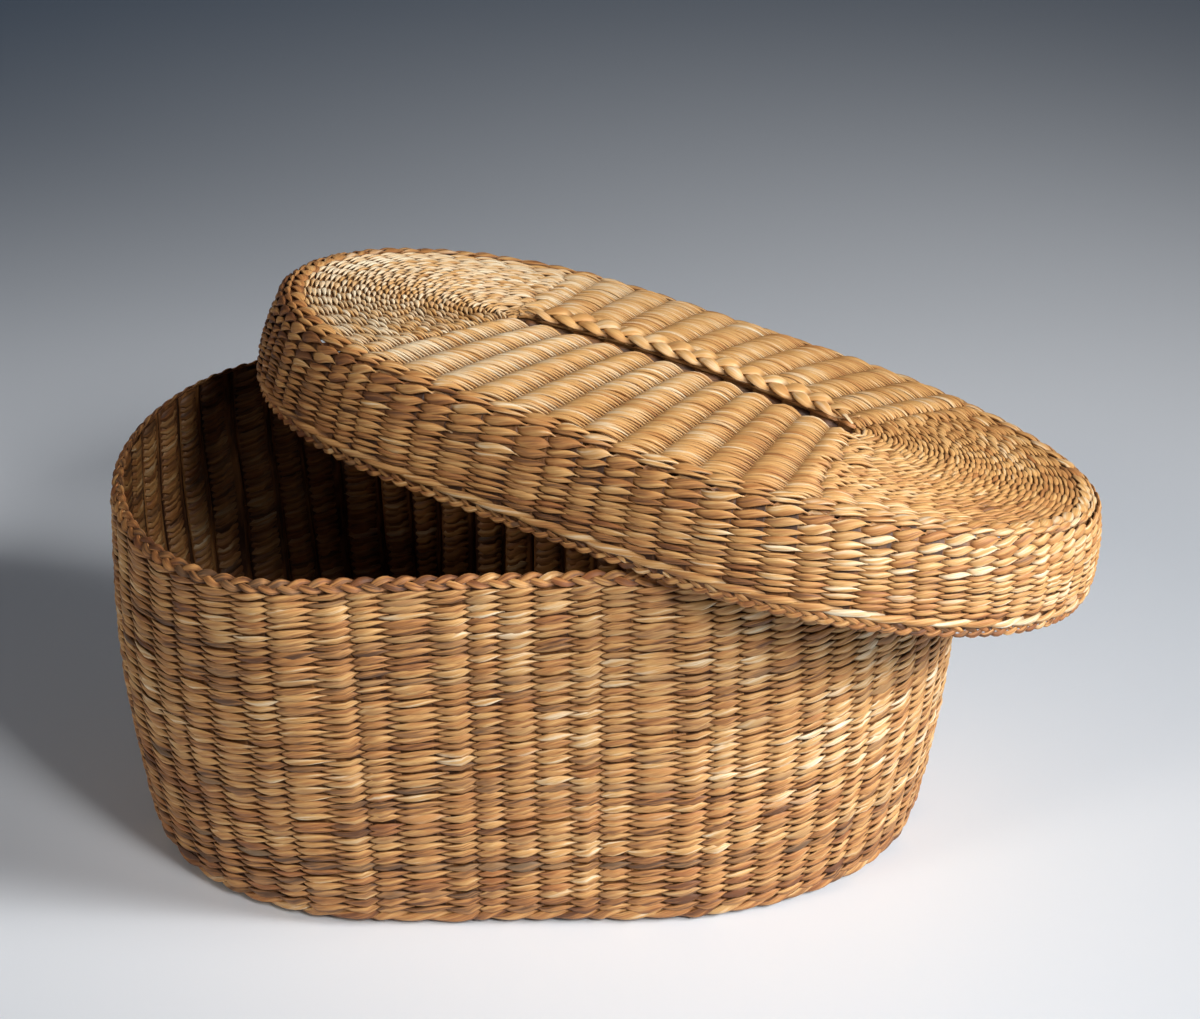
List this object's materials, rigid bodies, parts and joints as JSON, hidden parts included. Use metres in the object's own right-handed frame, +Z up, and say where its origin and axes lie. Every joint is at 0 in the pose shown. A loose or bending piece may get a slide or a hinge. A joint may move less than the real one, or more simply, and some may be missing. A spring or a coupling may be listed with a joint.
{
  "type": "lidded woven basket",
  "caption": "Oval lidded basket of twined sweetgrass with plaited borders, its lid set askew on the rim so that the inside shows.",
  "frame": {"origin": "centre of the flat underside of the base, on the surface the basket stands on", "axes": "+Z up, +X along the basket's length towards the end that the lid overhangs, -Y towards the front of the picture"},
  "size_m": [0.2993, 0.2138, 0.1703],
  "materials": {
    "base_straw": "matt twined grass",
    "wall_straw": "satin twined grass",
    "row_straw": "satin rope row",
    "braid_straw": "satin reddish plait",
    "top_straw": "satin pale grass"
  },
  "bodies": {
    "body": {"base_mat": "base_straw", "foot_row": "row_straw", "wall_wefts_lower": "wall_straw", "wall_wefts_middle": "wall_straw", "wall_wefts_upper": "wall_straw", "rim_braid": "braid_straw"},
    "lid": {"lid_rim_braid": "braid_straw", "lid_binding_row": "row_straw", "lid_skirt_fine_wefts": "wall_straw", "lid_skirt_coarse_wefts": "wall_straw", "lid_shoulder_row": "row_straw", "lid_top_front": "top_straw", "lid_top_back": "top_straw", "lid_fan_left": "top_straw", "lid_fan_right": "top_straw", "plait_strand_1": "braid_straw", "plait_strand_2": "braid_straw", "plait_strand_3": "braid_straw"}
  },
  "joints": [
    {"name": "lid_lift", "type": "slide", "parent": "body", "child": "lid", "axis": [0, 0, 1], "range_m": [0, 0.15]}
  ]
}
